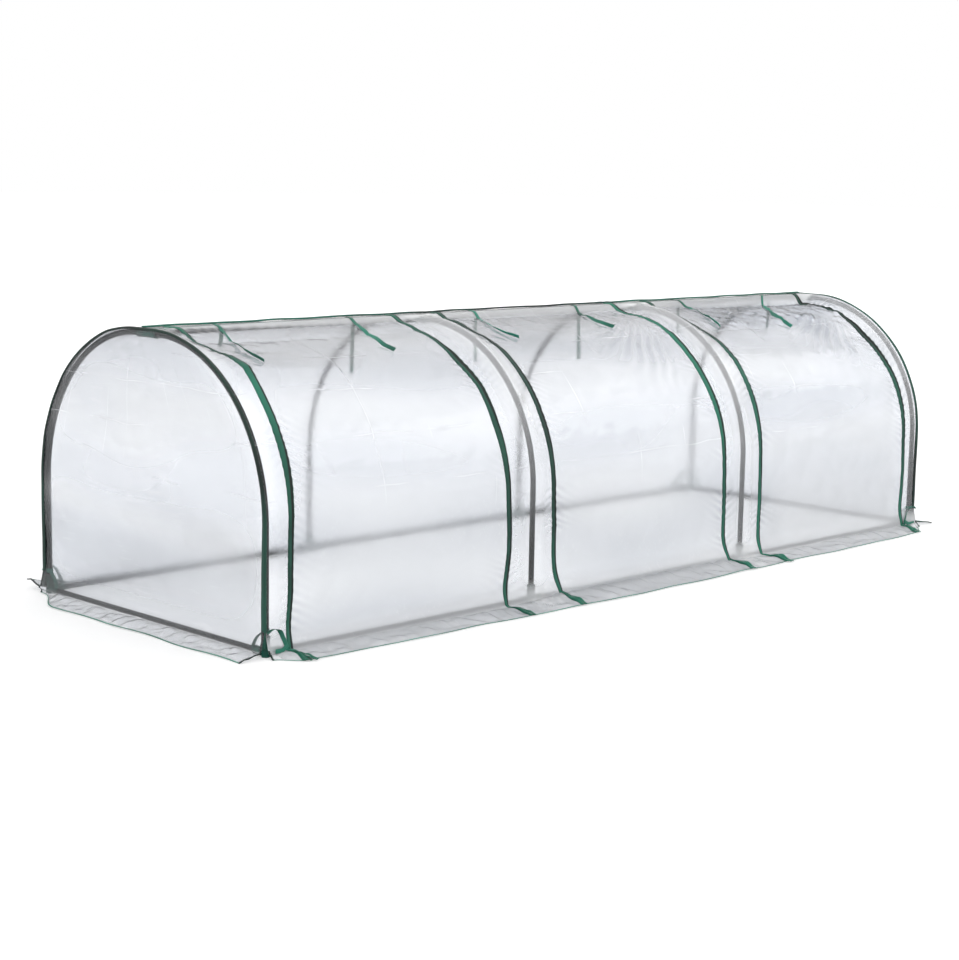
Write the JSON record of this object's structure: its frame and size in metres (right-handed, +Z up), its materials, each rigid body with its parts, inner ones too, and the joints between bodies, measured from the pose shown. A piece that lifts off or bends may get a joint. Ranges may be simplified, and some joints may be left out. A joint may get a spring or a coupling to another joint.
{
  "type": "polytunnel greenhouse",
  "caption": "Low garden polytunnel: round steel hoops in moulded connectors under clear film, with zipped roll-up front doors, bound seams and a ground skirt.",
  "frame": {"origin": "on the ground, under the middle of the ridge", "axes": "+X along the tunnel, towards the right-hand end as seen from the doors; -Y is the door side; +Z up"},
  "size_m": [3.1254, 1.1944, 0.8072],
  "materials": {
    "steel_tube": "dark green powder coat, satin",
    "connector": "moulded dark green polypropylene",
    "film": "clear PVC film, glossy and slightly creased",
    "zip_tape": "green woven tape with a dark coil zip",
    "binding": "green woven binding tape",
    "tie_tape": "green woven tie tape"
  },
  "bodies": {
    "root": {"hoop_1_legs": "steel_tube", "hoop_2_legs": "steel_tube", "hoop_3_legs": "steel_tube", "hoop_4_legs": "steel_tube", "hoop_1_bows": "steel_tube", "hoop_2_bows": "steel_tube", "hoop_3_bows": "steel_tube", "hoop_4_bows": "steel_tube", "ridge_tube_1": "steel_tube", "ridge_tube_2": "steel_tube", "ridge_tube_3": "steel_tube", "front_rail_1": "steel_tube", "front_rail_2": "steel_tube", "front_rail_3": "steel_tube", "rear_rail_1": "steel_tube", "rear_rail_2": "steel_tube", "rear_rail_3": "steel_tube", "left_end_rail": "steel_tube", "right_end_rail": "steel_tube", "front_left_corner": "connector", "front_right_corner": "connector", "rear_left_corner": "connector", "rear_right_corner": "connector", "front_left_tee": "connector", "front_right_tee": "connector", "rear_left_tee": "connector", "rear_right_tee": "connector", "ridge_tee_left": "connector", "ridge_cross_left": "connector", "ridge_cross_right": "connector", "ridge_tee_right": "connector", "rear_cover": "film", "left_end_wall": "film", "right_end_wall": "film", "front_strip_1": "film", "front_strip_2": "film", "front_strip_3": "film", "front_strip_4": "film", "door_1": "film", "door_2": "film", "door_3": "film", "door_1_zips": "zip_tape", "door_2_zips": "zip_tape", "door_3_zips": "zip_tape", "ridge_binding": "binding", "left_end_binding": "binding", "right_end_binding": "binding", "door_ties": "tie_tape", "corner_ties": "tie_tape"}
  },
  "joints": []
}
